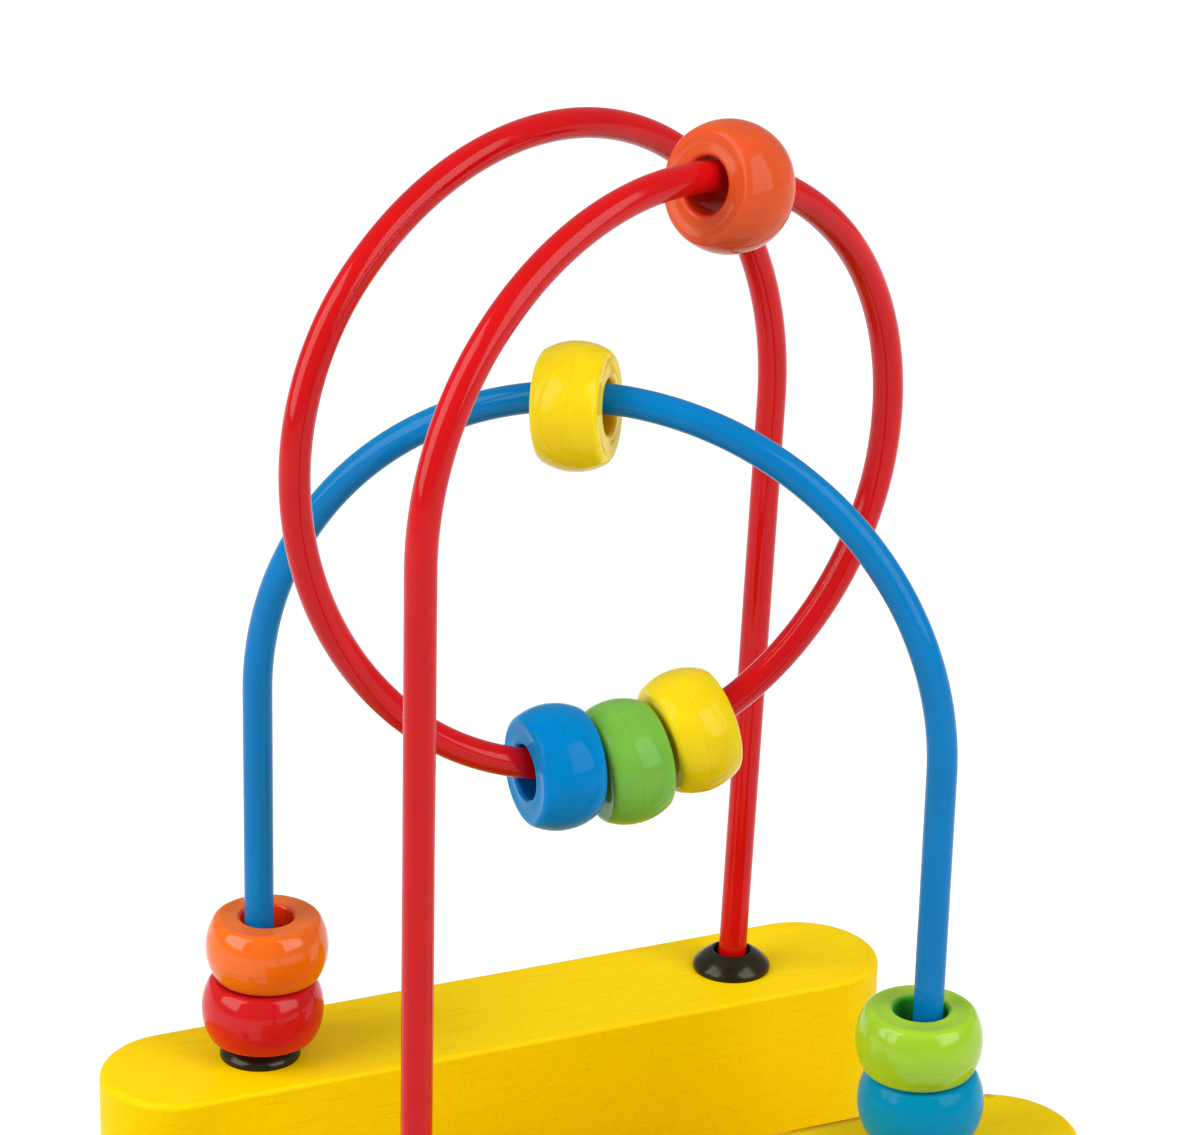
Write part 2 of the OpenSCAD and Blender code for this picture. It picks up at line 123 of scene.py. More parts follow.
def arc(centre: Sequence[float], radius: float, start: float, stop: float, count: int) -> Array:
    """Points of a circle: centre plus radius times cosine and sine of even angles, given in degrees."""
    angle = np.radians(np.linspace(start, stop, count))
    return np.column_stack([centre[0] + radius * np.cos(angle), centre[1] + radius * np.sin(angle)])


def line(start: Sequence[float], stop: Sequence[float], count: int = 2, edge: float = 0.03) -> Array:
    """Points of a straight line: its ends, and a count of even ones that keep an edge's share from them."""
    share = np.concatenate([[0.0], np.linspace(edge, 1 - edge, count), [1.0]])[:, None]
    return np.asarray(start, float) * (1 - share) + np.asarray(stop, float) * share


def joined(*parts: Array) -> Array:
    """Puts stretches of a curve end to end and drops points that repeat."""
    curve = np.vstack(parts)
    step = np.linalg.norm(np.diff(curve, axis=0), axis=1)
    return curve[np.concatenate([[True], step > SAME])]


def rounded(corners: Sequence[Sequence[float]], count: int = 6) -> Array:
    """Straight lines from corner to corner, where a right-angled corner may be a quarter circle.

    The circle starts one radius before its corner and ends one radius after it: a point is its middle plus
    radius times the direction before, times a sine, less the direction after, times the cosine.

    Args:
        corners: Corners as [x, y], or as [x, y, radius] where the path is rounded.
        count: Points of a quarter circle.

    Returns:
        Points of the path.
    """
    place = np.array([corner[:2] for corner in corners], float)
    ahead = np.diff(place, axis=0)
    ahead /= np.linalg.norm(ahead, axis=1)[:, None]
    turn = np.radians(np.linspace(0, 90, count))[:, None]
    parts = [place[:1]]
    for at, before, after, corner in zip(place[1:], ahead, ahead[1:], corners[1:]):
        radius = sum(corner[2:])
        bend = at + (after - before + before * np.sin(turn) - after * np.cos(turn)) * radius
        parts += [line(parts[-1][-1], bend[0]), bend]
    return joined(*parts, line(parts[-1][-1], place[-1]))


def raised(level: Array, height: Array) -> Array:
    """Gives each row of points in the XY plane its height."""
    return np.dstack([level, np.broadcast_to(height[:, None], level.shape[:2])])


def eased_wall(low: float, high: float, ease: float) -> Array:
    """Edge of a board as [out from its faces, height]: a quarter circle, a straight wall, a quarter circle.

    Args:
        low: Height of the lower face.
        high: Height of the upper face.
        ease: Radius of the quarter circles.

    Returns:
        Points from the upper face to the lower one.
    """
    return rounded([(0, high), (ease, high, ease), (ease, low, ease), (0, low)])


def revolve(profile: Array, turns: int, closed: bool) -> Sheet:
    """Carries a profile of [radius, height] round the Z axis: x and y are radius times cosine and sine.

    Args:
        profile: Points of the profile.
        turns: Number of places round the axis.
        closed: Whether the profile's last point joins its first.

    Returns:
        Sheet whose values radial and axial hold each point's radius and height.
    """
    angle = np.linspace(0, 2 * np.pi, turns, endpoint=False)
    radius = np.repeat(profile[:, :1], turns, axis=1)
    height = np.repeat(profile[:, 1:], turns, axis=1)
    points = np.stack([radius * np.cos(angle), radius * np.sin(angle), height], axis=-1)
    return Sheet(points, closed, {"radial": radius, "axial": height})


def sweep(path: Array, side: Array, radii: Array, turns: int) -> Sheet:
    """Carries a circle along a path: a point is the path plus side and its normal times cosine and sine.

    Args:
        path: Points of the centre line.
        side: Direction across the path at each point.
        radii: Radius of the ring at each point.
        turns: Points round each ring.

    Returns:
        Sheet with one row for each point of the path.
    """
    ahead = np.gradient(path, axis=0)
    ahead /= np.linalg.norm(ahead, axis=1)[:, None]
    other = np.cross(ahead, side)
    angle = np.linspace(0, 2 * np.pi, turns, endpoint=False)[None, :, None]
    ring = side[:, None] * np.cos(angle) + other[:, None] * np.sin(angle)
    return Sheet(path[:, None] + ring * radii[:, None, None])


def frame_along(origin: Sequence[float], axis: Sequence[float] = Axis.Z.value,
                side: Sequence[float] = Axis.X.value) -> Array:
    """Frame with its Z along an axis.

    Args:
        origin: Place of the frame, in millimetres.
        axis: Direction of its Z.
        side: Direction near its X.

    Returns:
        4 by 4 matrix.
    """
    z = np.asarray(axis, float) / np.linalg.norm(axis)
    x = np.asarray(side, float) - z * np.dot(side, z)
    x /= np.linalg.norm(x)
    matrix = np.eye(4)
    matrix[:3] = np.column_stack([x, np.cross(z, x), z, origin])
    return matrix


def closed_mesh(name: str, sheets: Sequence[Sheet]) -> bpy.types.Mesh:
    """Joins sheets to one smooth mesh, with merged poles and seams and with its faces outwards.

    Args:
        name: Name of the mesh.
        sheets: Sheets in the wagon's frame, all with the same named values.

    Returns:
        The mesh in metres, with the named values as attributes of its points.
    """
    first = np.cumsum([0] + [sheet.points[..., 0].size for sheet in sheets])
    points = np.vstack([sheet.points.reshape(-1, 3) for sheet in sheets]) * MM
    quads = np.vstack([sheet.quads() + number for sheet, number in zip(sheets, first)])
    mesh = bpy.data.meshes.new(name)
    mesh.from_pydata(points.tolist(), [], quads.tolist())
    for key in sheets[0].values:
        values = np.concatenate([sheet.values[key].ravel() for sheet in sheets])
        layer = mesh.attributes.new(key, "FLOAT", "POINT")
        layer.data.foreach_set("value", values.astype(np.float32))
    shape = bmesh.new()
    shape.from_mesh(mesh)
    bmesh.ops.remove_doubles(shape, verts=shape.verts, dist=MERGE_DISTANCE)
    bmesh.ops.recalc_face_normals(shape, faces=shape.faces)
    shape.to_mesh(mesh)
    shape.free()
    mesh.polygons.foreach_set("use_smooth", np.ones(len(mesh.polygons), bool))
    return mesh


def add_object(name: str, data: bpy.types.ID) -> bpy.types.Object:
    """Adds an object to the scene.

    Args:
        name: Name of the object.
        data: Its mesh, lamp or camera.

    Returns:
        The object, at the origin.
    """
    made = bpy.data.objects.new(name, data)
    bpy.context.scene.collection.objects.link(made)
    return made


def make_piece(name: str, sheets: Sequence[Sheet], material: bpy.types.Material,
               node: str, body: str = WAGON) -> None:
    """Makes one piece of sheets, at the origin, and seats it in the part.

    Args:
        name: Name of the piece.
        sheets: Sheets in the wagon's frame.
        material: Finish of the piece.
        node: CAD node that it stands for.
        body: Body that it rides on.
    """
    mesh = closed_mesh(name, sheets)
    mesh.materials.append(material)
    piece = add_object(name, mesh)
    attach(piece, body)
    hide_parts(node)
    LOG.info("made %s with %d faces", name, len(mesh.polygons))


Number = Union[float, "Signal"]


class Signal:
    """Value that runs through a material's nodes, with arithmetic that adds Math nodes."""

    def __init__(self, finish: "Finish", socket: bpy.types.NodeSocket) -> None:
        """Wraps an output socket of a finish's nodes."""
        self.finish = finish
        self.socket = socket

    def math(self, operation: str, *others: Number) -> "Signal":
        """Result of a Math node on this value and others."""
        operands = dict(enumerate([self, *others]))
        return self.finish.node("ShaderNodeMath", {"operation": operation}, operands)

    def __add__(self, other: Number) -> "Signal":
        """Sum."""
        return self.math("ADD", other)

    __radd__ = __add__

    def __sub__(self, other: Number) -> "Signal":
        """Difference."""
        return self.math("SUBTRACT", other)

    def __mul__(self, other: Number) -> "Signal":
        """Product."""
        return self.math("MULTIPLY", other)

    def size(self) -> "Signal":
        """Value without its sign."""
        return self.math("ABSOLUTE")

    def between(self, low: float, high: float) -> "Signal":
        """Smooth step from 0 at low to 1 at high, where low may be the larger of the two."""
        inputs = {"Value": self, "From Min": low, "From Max": high, "To Min": 0.0, "To Max": 1.0}
        return self.finish.node("ShaderNodeMapRange", {"interpolation_type": "SMOOTHSTEP"}, inputs)


Scale = Union[float, Sequence[float]]
Tone = Union[Colour, Signal]


class Finish:
    """Material of one finish, with its Principled shader and the nodes that feed it."""

    def __init__(self, name: str, **constants: Union[float, Sequence[float]]) -> None:
        """Makes the material.

        Args:
            name: Name of the material.
            constants: Principled sockets that are the same all over, with _ for a space.
        """
        self.material = bpy.data.materials.new(name)
        self.material.use_nodes = True
        self.tree = self.material.node_tree
        self.shader = self.tree.nodes["Principled BSDF"]
        for key, value in constants.items():
            self.shader.inputs[key.replace("_", " ")].default_value = value

    def node(self, kind: str, settings: dict, inputs: dict, output: Union[int, str] = 0) -> Signal:
        """Adds a node.

        Args:
            kind: Type of the node.
            settings: Its own settings, set first.
            inputs: Values or signals of its sockets by name or number.
            output: Output to hand on.

        Returns:
            That output as a signal.
        """
        made = self.tree.nodes.new(kind)
        for key, value in settings.items():
            setattr(made, key, value)
        for key, value in inputs.items():
            if isinstance(value, Signal):
                self.tree.links.new(value.socket, made.inputs[key])
            else:
                made.inputs[key].default_value = value
        return Signal(self, made.outputs[output])

    def coordinates(self, scale: Scale) -> Signal:
        """Object coordinates, stretched by one scale or by a scale along each axis."""
        place = self.node("ShaderNodeTexCoord", {}, {}, "Object")
        return self.node("ShaderNodeMapping", {},
                         {"Vector": place, "Scale": np.broadcast_to(scale, 3).tolist()})

    def noise(self, scale: Scale, detail: float = 2.0, roughness: float = 0.5) -> Signal:
        """Noise from 0 to 1 over object coordinates, with a scale in cycles a metre."""
        inputs = {"Vector": self.coordinates(scale), "Scale": 1.0, "Detail": detail, "Roughness": roughness}
        return self.node("ShaderNodeTexNoise", {}, inputs, "Fac")

    def cells(self, scale: Scale) -> Signal:
        """Distance to the nearest of scattered points, with a scale in cells a metre."""
        inputs = {"Vector": self.coordinates(scale), "Scale": 1.0, "Randomness": 1.0}
        return self.node("ShaderNodeTexVoronoi", {}, inputs, "Distance")

    def value(self, name: str) -> Signal:
        """Value that the mesh holds at its points."""
        return self.node("ShaderNodeAttribute", {"attribute_name": name}, {}, "Fac")

    def blend(self, share: Number, low: Tone, high: Tone) -> Signal:
        """Colour between two colours.

        Args:
            share: 0 for the first colour, 1 for the second.
            low: First colour.
            high: Second colour.

        Returns:
            The mixed colour.
        """
        inputs = {MIX_SHARE: share}
        for socket, tone in ((MIX_LOW, low), (MIX_HIGH, high)):
            inputs[socket] = tone if isinstance(tone, Signal) else (*tone, 1.0)
        return self.node("ShaderNodeMix", {"data_type": "RGBA"}, inputs, MIX_RESULT)

    def mottle(self, signal: Signal, tint: Colour, dark: float, light: float) -> Signal:
        """Tint that goes with a signal from a darker to a lighter share of itself."""
        return self.blend(signal, shade(tint, dark), shade(tint, light))

    def feed(self, socket: str, signal: Signal) -> None:
        """Links a signal to a Principled socket."""
        self.tree.links.new(signal.socket, self.shader.inputs[socket])

    def done(self, tone: Signal, roughness: Signal, height: Signal, depth: float) -> bpy.types.Material:
        """Feeds the shader and hands the material out.

        Args:
            tone: Base colour.
            roughness: Roughness.
            height: Height of the surface.
            depth: Millimetres for a height of 1.

        Returns:
            The material.
        """
        self.feed("Base Color", tone)
        self.feed("Roughness", roughness)
        inputs = {"Height": height, "Distance": depth * MM, "Strength": 1.0}
        self.feed("Normal", self.node("ShaderNodeBump", {}, inputs))
        return self.material


def rgb(red: int, green: int, blue: int) -> Colour:
    """Linear colour of a display colour from 0 to 255."""
    share = np.array([red, green, blue]) / 255
    return tuple(np.where(share <= 0.04045, share / 12.92, ((share + 0.055) / 1.055) ** 2.4).tolist())


def shade(colour: Colour, share: float) -> Colour:
    """Colour times a share."""
    return tuple(min(1.0, part * share) for part in colour)


@dataclass(frozen=True)
class BeadPlastic:
    """Glossy moulded plastic with a parting line, flow marks and specks; the hole's deeper colour is painted
    light.
    """

    name: str
    tint: Colour
    painted_hole_light: Colour
    gloss: float
    parting: float = -1.1
    seam: float = 0.16

    def material(self) -> bpy.types.Material:
        """Returns the finish as a material."""
        depth = tuple(0.1 + 0.9 * part for part in self.tint)
        look = Finish(self.name, Specular_IOR_Level=self.gloss,
                      Subsurface_Weight=0.6, Subsurface_Scale=0.006, Subsurface_Radius=depth)
        cloud = look.noise(160, 3.0)
        flow = look.noise((300, 300, 900), 2.0)
        speck = look.cells(700).between(0.09, 0.05)
        radial = look.value("radial")
        seam = (look.value("axial") - self.parting).size().between(0.16, 0.02) * radial.between(8.0, 8.9)
        tone = look.mottle(cloud.between(0.3, 0.7), self.tint, 0.95, 1.03)
        # Painted light: the hole's deeper colour stands in for light that passes through the thick plastic.
        tone = look.blend(radial.between(5.0, 4.1) * 0.85, tone, self.painted_hole_light)
        tone = look.blend(speck * 0.12, tone, shade(self.tint, 1.5))
        tone = look.blend(seam * self.seam, tone, shade(self.tint, 0.6))
        height = flow * 0.25 + seam * (self.seam * 4) + speck * 0.2
        return look.done(tone, 0.06 + cloud * 0.05 + flow * 0.04, height, 0.03)


@dataclass(frozen=True)
class WireCoating:
    """Glossy plastic coating drawn over a wire, with slow waves and faint rub marks."""

    name: str
    tint: Colour
    gloss: float

    def material(self) -> bpy.types.Material:
        """Returns the finish as a material."""
        look = Finish(self.name, Specular_IOR_Level=self.gloss)
        cloud = look.noise(90, 3.0)
        rub = look.noise(500, 4.0, 0.6).between(0.55, 0.8)
        tone = look.mottle(cloud.between(0.25, 0.75), self.tint, 0.94, 1.04)
        tone = look.blend(rub * 0.05, tone, shade(self.tint, 1.35))
        return look.done(tone, 0.08 + cloud * 0.06 + rub * 0.06, look.noise(160, 1.0), 0.012)


@dataclass(frozen=True)
class BoardPaint:
    """Satin paint over wood: fine pores, short dashes of grain that show through, and a broken orange-brown
    line on marked edges.
    """

    name: str
    tint: Colour
    edge_tint: Colour

    def material(self) -> bpy.types.Material:
        """Returns the finish as a material."""
        look = Finish(self.name, Specular_IOR_Level=0.05)
        stipple = look.noise((2600, 3400, 3400), 2.0, 0.6)
        grain = look.noise((45, 1000, 1000), 3.0, 0.55)
        dash = look.noise((130, 1700, 1700), 2.0, 0.5).between(0.60, 0.72)
        pore = look.cells((900, 2200, 2200)).between(0.16, 0.08)
        cloud = look.noise(30, 3.0)
        edge_mark = look.value("edge") * look.noise((180, 700, 700), 4.0, 0.65).between(0.25, 0.55)
        tone = look.mottle(stipple.between(0.3, 0.7), self.tint, 0.94, 1.03)
        tone = look.blend(cloud.between(0.35, 0.75) * 0.2, tone, shade(self.tint, 0.93))
        tone = look.blend(grain.between(0.5, 0.75) * 0.2, tone, shade(self.tint, 0.82))
        tone = look.blend(dash * 0.16, tone, shade(self.tint, 0.5))
        tone = look.blend(pore * 0.16, tone, shade(self.tint, 0.45))
        # A broken orange-brown line where the edge value is high, strongest along the front board's inner top
        # edge.
        tone = look.blend(edge_mark * 0.85, tone, self.edge_tint)
        height = grain * 0.3 + stipple * 0.08 - dash * 0.3 - pore * 0.3
        return look.done(tone, 0.36 + stipple * 0.1 + dash * 0.1, height, 0.04)


@dataclass(frozen=True)
class BareWood:
    """Fine-sanded beech along one axis: growth bands, fibres and short dark flecks."""

    name: str
    tint: Colour
    along: Axis

    def stretched(self, fine: float, long: float) -> tuple[float, ...]:
        """Scale with one value across the grain and another along it."""
        return tuple(long if share else fine for share in self.along.value)

    def material(self) -> bpy.types.Material:
        """Returns the finish as a material."""
        look = Finish(self.name)
        band = look.noise(self.stretched(140, 10), 2.0)
        fibre = look.noise(self.stretched(1500, 50), 3.0, 0.6)
        fleck = look.cells(self.stretched(1100, 220)).between(0.24, 0.12)
        tone = look.mottle(band.between(0.3, 0.7), self.tint, 0.86, 1.08)
        tone = look.blend(fibre.between(0.4, 0.7) * 0.4, tone, shade(self.tint, 0.8))
        tone = look.blend(fleck * 0.4, tone, shade(self.tint, 0.48))
        return look.done(tone, 0.52 + fibre * 0.16, fibre * 0.6 - fleck * 0.4, 0.06)


@dataclass(frozen=True)
class WheelPaint:
    """Gloss paint over turned wood: faint lathe rings, and wood showing through on the rim's edges."""

    name: str
    tint: Colour
    edge_tint: Colour

    def material(self) -> bpy.types.Material:
        """Returns the finish as a material."""
        look = Finish(self.name, Specular_IOR_Level=0.2, Coat_Weight=0.15, Coat_Roughness=0.12)
        ring = (look.value("radial") * 7.0).math("SINE")
        cloud = look.noise(110, 3.0)
        fibre = look.noise((900, 60, 900), 3.0)
        edge_mark = look.value("edge") * look.noise(420, 4.0, 0.65).between(0.52, 0.66)
        tone = look.mottle(cloud.between(0.3, 0.7), self.tint, 0.9, 1.06)
        tone = look.blend(edge_mark * 0.55, tone, self.edge_tint)
        height = ring * 0.12 + fibre * 0.4 - edge_mark * 0.3
        return look.done(tone, 0.26 + cloud * 0.1 + edge_mark * 0.2, height, 0.06)


@dataclass(frozen=True)
class BushPlastic:
    """Black moulded plastic with a soft gloss and dust in its pores."""

    name: str
    tint: Colour
    dust: Colour

    def material(self) -> bpy.types.Material:
        """Returns the finish as a material."""
        look = Finish(self.name, Specular_IOR_Level=0.3, Specular_Tint=(1.0, 0.96, 0.78, 1.0))
        cloud = look.noise(300, 3.0)
        dust = look.noise(2400, 2.0).between(0.64, 0.78)
        tone = look.mottle(cloud.between(0.3, 0.7), self.tint, 0.75, 1.3)
        tone = look.blend(dust * 0.06, tone, self.dust)
        return look.done(tone, 0.16 + cloud * 0.08 + dust * 0.1, cloud * 0.5 + dust * 0.3, 0.04)


@dataclass(frozen=True)
class DrawnSteel:
    """Steel wire with fine scratches of drawing."""

    name: str
    tint: Colour

    def material(self) -> bpy.types.Material:
        """Returns the finish as a material."""
        look = Finish(self.name, Metallic=1.0)
        scratch = look.noise((2000, 2000, 40), 3.0)
        return look.done(look.mottle(scratch, self.tint, 0.8, 1.1), 0.28 + scratch * 0.2, scratch, 0.01)


@dataclass
class SideBoards:
    """Two painted boards with round ends, whose edges are sanded softer at the ends than along the sides."""

    length: float = 135.0
    thickness: float = 25.0
    low: float = 8.0
    side_edge: float = 0.8
    end_edge: float = 1.4
    side_points: int = 56
    end_points: int = 40
    # Strength of the orange-brown line on the front board's inner edges, and on all other edges
    edge_mark: float = 1.0
    faint_edge_mark: float = 0.06
    inward: float = 0.9

    def section(self, ease: float) -> tuple[Array, Array]:
        """Half section as [out from the middle plane, height], from the top's middle to the bottom's.

        Args:
            ease: Radius of the edges.

        Returns:
            Its points, and 1 where both the side and a face are no further than the ease, 0 elsewhere.
        """
        out, low, high = self.thickness / 2, self.low, BOARD_TOP
        points = np.vstack([
            line((0, high), (out - ease, high), 4, 0.1),
            arc((out - ease, high - ease), ease, 90, 0, 14)[1:-1],
            line((out, high - ease), (out, low + ease), 6, 0.01),
            arc((out - ease, low + ease), ease, 0, -90, 14)[1:-1],
            line((out - ease, low), (0, low), 4, 0.1),
        ])
        face = np.minimum(high - points[:, 1], points[:, 1] - low)
        return points, (np.maximum(out - points[:, 0], face) < ease + SAME).astype(float)

    def sheet(self, row: Row) -> Sheet:
        """Carries the half section round a line of the board's straight length.

        A point is the nearest place on that line plus the outward direction times its distance out. The
        direction stands still along the straight sides and turns half a circle at each end. The section
        changes evenly with its edge radius, which grows from the sides to the tips of the ends.

        Args:
            row: Which of the two boards.

        Returns:
            Sheet whose value edge marks the rounded edges, most of all the front board's inner ones.
        """
        half = (self.length - self.thickness) / 2
        sharp = self.section(0.0)[0]
        soft, mark = self.section(1.0)
        straight = np.linspace(-half, half, self.side_points)
        turn = np.radians(np.linspace(-90, 90, self.end_points))[1:-1]
        side = np.full(self.side_points, np.pi / 2)
        foot = np.concatenate([straight, turn * 0 + half, straight[::-1], turn * 0 - half])
        angle = np.concatenate([-side, turn, side, turn + np.pi])
        ease = self.side_edge + (self.end_edge - self.side_edge) * np.abs(np.cos(angle))
        section = sharp[..., None] + (soft - sharp)[..., None] * ease
        out, height = section[:, 0], section[:, 1]
        x, y = foot + out * np.cos(angle), row.value * FOOT_Y + out * np.sin(angle)
        points = np.stack([x, y, height], axis=-1)
        inner = (-row.value * np.sin(angle) > self.inward) & (row is Row.FRONT)
        return Sheet(points, values={"edge": mark[:, None] * np.where(inner, self.edge_mark, self.faint_edge_mark)})

    def build(self, finish: BoardPaint) -> None:
        """Makes both boards in their paint."""
        material = finish.material()
        for row in Row:
            node = f"side_board_{row.name.lower()}"
            make_piece(f"painted_{node}", [self.sheet(row)], material, node)


@dataclass
class WireBushes:
    """Four domed bushes: a round rim on the board, a dome, a bore for the wire and a spigot in the board."""

    radius: float = 6.4
    rim: float = 1.3
    rise: float = 0.3
    dome: float = 4.0
    bore: float = 3.0
    lip: float = 0.3
    wire: float = 2.35
    floor: float = 1.0
    spigot: float = 4.3
    depth: float = 6.0
    turns: int = 72

    def dome_circle(self) -> tuple[float, float]:
        """Circle of the dome, which the rim's circle touches from inside.

        Returns:
            Its radius, and the depth of its middle below the board.
        """
        middle, over = self.radius - self.rim, self.dome - self.rim
        drop = (middle ** 2 + self.rise ** 2 - over ** 2) / (2 * (over - self.rise))
        return self.dome + drop, drop

    def profile(self) -> Array:
        """Closed profile of [radius, height] over the board.

        The rim is a circle cut by the board, the dome a circle round it, and the lip a small circle that
        touches dome and bore. Inside the bore a floor closes on the wire.
        """
        ball, drop = self.dome_circle()
        middle = (self.radius - self.rim, self.rise)
        mouth = self.bore + self.lip
        crest = math.sqrt((ball - self.lip) ** 2 - mouth ** 2) - drop
        low = -math.degrees(math.asin(self.rise / self.rim))
        side = math.degrees(math.atan2(self.rise + drop, middle[0]))
        top = math.degrees(math.atan2(crest + drop, mouth))
        base = (middle[0] + self.rim * math.cos(math.radians(low)), 0)
        inside = [(self.bore, crest), (self.bore, self.floor), (self.wire, self.floor),
                  (self.wire, -self.depth), (self.spigot, -self.depth), (self.spigot, 0), base]
        return joined(
            arc(middle, self.rim, low, side, 18),
            arc((0, -drop), ball, side, top, 16),
            arc((mouth, crest), self.lip, top, 180, 10),
            rounded(inside)[:-1],
        )

    def build(self, finish: BushPlastic) -> None:
        """Makes the four bushes."""
        material = finish.material()
        sheet = revolve(self.profile(), self.turns, True)
        for row, end, corner in CORNERS:
            node = f"bush_{corner}"
            place = frame_along((end.value * FOOT_X, row.value * FOOT_Y, BOARD_TOP))
            make_piece(f"moulded_{node}", [sheet.moved(place)], material, node)


def bend_path(steps: Sequence[Step], start: Array) -> tuple[Array, Array]:
    """Centre line of a bent wire from steps of [radius, sweep, roll], with a direction across it.

    A step of radius 0 runs straight for its sweep in millimetres. Any other turns from the frame's Z towards
    its X about a centre one radius away, through its sweep in degrees, after the frame has rolled about Z.
    The direction across is the frame's X with all rolls so far taken back, so it never jumps.

    Args:
        steps: Steps of the wire from its first end.
        start: Frame of that end.

    Returns:
        Points of the centre line, and the direction across at each.
    """
    frame_now, rolled, parts = start.copy(), 0.0, []
    for radius, sweep_by, roll in steps:
        rolled += math.radians(roll)
        c, s = math.cos(math.radians(roll)), math.sin(math.radians(roll))
        frame_now = frame_now @ np.array([[c, -s, 0, 0], [s, c, 0, 0], [0, 0, 1, 0], [0, 0, 0, 1]])
        if radius == 0:
            length = np.linspace(0, sweep_by, max(3, int(sweep_by / STRAIGHT_STEP)))
            turn = length * 0
            local = np.column_stack([turn, turn, length])
        else:
            angle = math.radians(sweep_by)
            turn = np.linspace(0, angle, max(6, int(radius * angle / BEND_STEP)))
            local = np.column_stack([radius * (1 - np.cos(turn)), turn * 0, radius * np.sin(turn)])
        level, tilt = math.cos(rolled), math.sin(rolled)
        across = np.column_stack([np.cos(turn) * level, turn * 0 - tilt, -np.sin(turn) * level])
        spin = frame_now[:3, :3].T
        parts.append(np.hstack([local @ spin + frame_now[:3, 3], across @ spin]))
        c, s = math.cos(turn[-1]), math.sin(turn[-1])
        x, _, z = local[-1]
        frame_now = frame_now @ np.array([[c, 0, s, x], [0, 1, 0, 0], [-s, 0, c, z], [0, 0, 0, 1]])
    course = joined(*parts)
    return course[:, :3], course[:, 3:]


@dataclass
class MazeWires:
    """Red and blue coated wires, as round bars along their bends, closed at both ends."""

    radius: float = 2.3
    depth: float = 18.0
    blue_post: float = 62.0
    loop_half: float = 47.5
    loop_side: float = 108.5
    loop_depth: float = 51.1
    front_top: float = 151.6
    front_radius: float = 49.5
    rear_reach: float = 48.5
    rear_rise: float = 43.0
    rear_lean: float = 2.5
    turns: int = 40
    end_step: float = 1e-4

    @staticmethod
    def quarter(run: float, rise: float) -> tuple[float, float]:
        """Radii of two bends of 45 degrees that turn an upright line level.

        Args:
            run: Level distance that both bends cover.
            rise: Height that both bends cover.

        Returns:
            Radius of the upright bend, and of the level one.
        """
        spread = COS_45 ** 2 - (1 - COS_45) ** 2
        side = (rise * COS_45 - run * (1 - COS_45)) / spread
        top = (run * COS_45 - rise * (1 - COS_45)) / spread
        return side, top

    @property
    def heading(self) -> float:
        """Angle of the red arches' planes from +X, in degrees."""
        return math.degrees(math.atan2(FOOT_Y, FOOT_X + self.loop_half))

    @property
    def span(self) -> float:
        """Level distance from a red foot to the far side of the loop."""
        return math.hypot(FOOT_X + self.loop_half, FOOT_Y)

    @property
    def front_fall(self) -> float:
        """Radius of the bend from the front arch down to the loop."""
        return (self.front_top - self.loop_side - self.front_radius * (1 - COS_45)) / COS_45

    @property
    def front_run(self) -> float:
        """Level distance from the front foot to the top of the front arch."""
        return self.span - self.front_fall * (1 - COS_45) - self.front_radius * COS_45

    def red_steps(self) -> list[Step]:
        """Steps of the red wire from its front foot, over the front arch and the loop, to its rear foot."""
        left = (self.front_run - self.front_radius * COS_45) / (1 - COS_45)
        post = self.front_top - left * COS_45 - self.front_radius * (1 - COS_45)
        loop = self.quarter(self.loop_half, self.loop_depth)
        rear = self.quarter(self.rear_reach, self.rear_rise)
        lean = math.radians(self.rear_lean)
        top = self.loop_side + self.rear_rise
        last = self.span - self.rear_reach + math.tan(lean) * top
        last /= math.cos(lean) + math.tan(lean) * (1 + math.sin(lean))
        foot = (top - last * (1 + math.sin(lean))) / math.cos(lean)
        return [(0, self.depth + post, 0),
                (left, 45, 0), (self.front_radius, 90, 0), (self.front_fall, 45, 0),
                (loop[0], 45, self.heading), (loop[1], 90, 0), (loop[0], 45, 0),
                (rear[0], 45, self.heading), (rear[1], 45, 0), (last, 90 + self.rear_lean, 0),
                (0, self.depth + foot, 0)]

    def bar(self, steps: Sequence[Step], start: Array) -> Sheet:
        """Round bar along a bent path, drawn in to a point at each end to close it.

        Args:
            steps: Steps of the path.
            start: Frame of its first end.

        Returns:
            Sheet of the bar.
        """
        path, side = (np.pad(part, ((1, 1), (0, 0)), mode="edge") for part in bend_path(steps, start))
        path[0] += (path[1] - path[2]) * self.end_step
        path[-1] += (path[-2] - path[-3]) * self.end_step
        radii = np.full(len(path), self.radius)
        radii[[0, -1]] = 0.0
        return sweep(path, side, radii, self.turns)

    def build(self, red: WireCoating, blue: WireCoating) -> None:
        """Makes both wires in their coatings."""
        turn, low = math.radians(self.heading), BOARD_TOP - self.depth
        start = frame_along((-FOOT_X, -FOOT_Y, low), side=(math.cos(turn), math.sin(turn), 0))
        bar = self.bar(self.red_steps(), start)
        make_piece("coated_red_wire", [bar], red.material(), "red_wire_sleeve")
        post = (0, self.depth + self.blue_post, 0)
        start = frame_along((-FOOT_X, FOOT_Y, low), side=(FOOT_X, -FOOT_Y, 0))
        bar = self.bar([post, (math.hypot(FOOT_X, FOOT_Y), 180, 0), post], start)
        make_piece("coated_blue_wire", [bar], blue.material(), "blue_wire_sleeve")


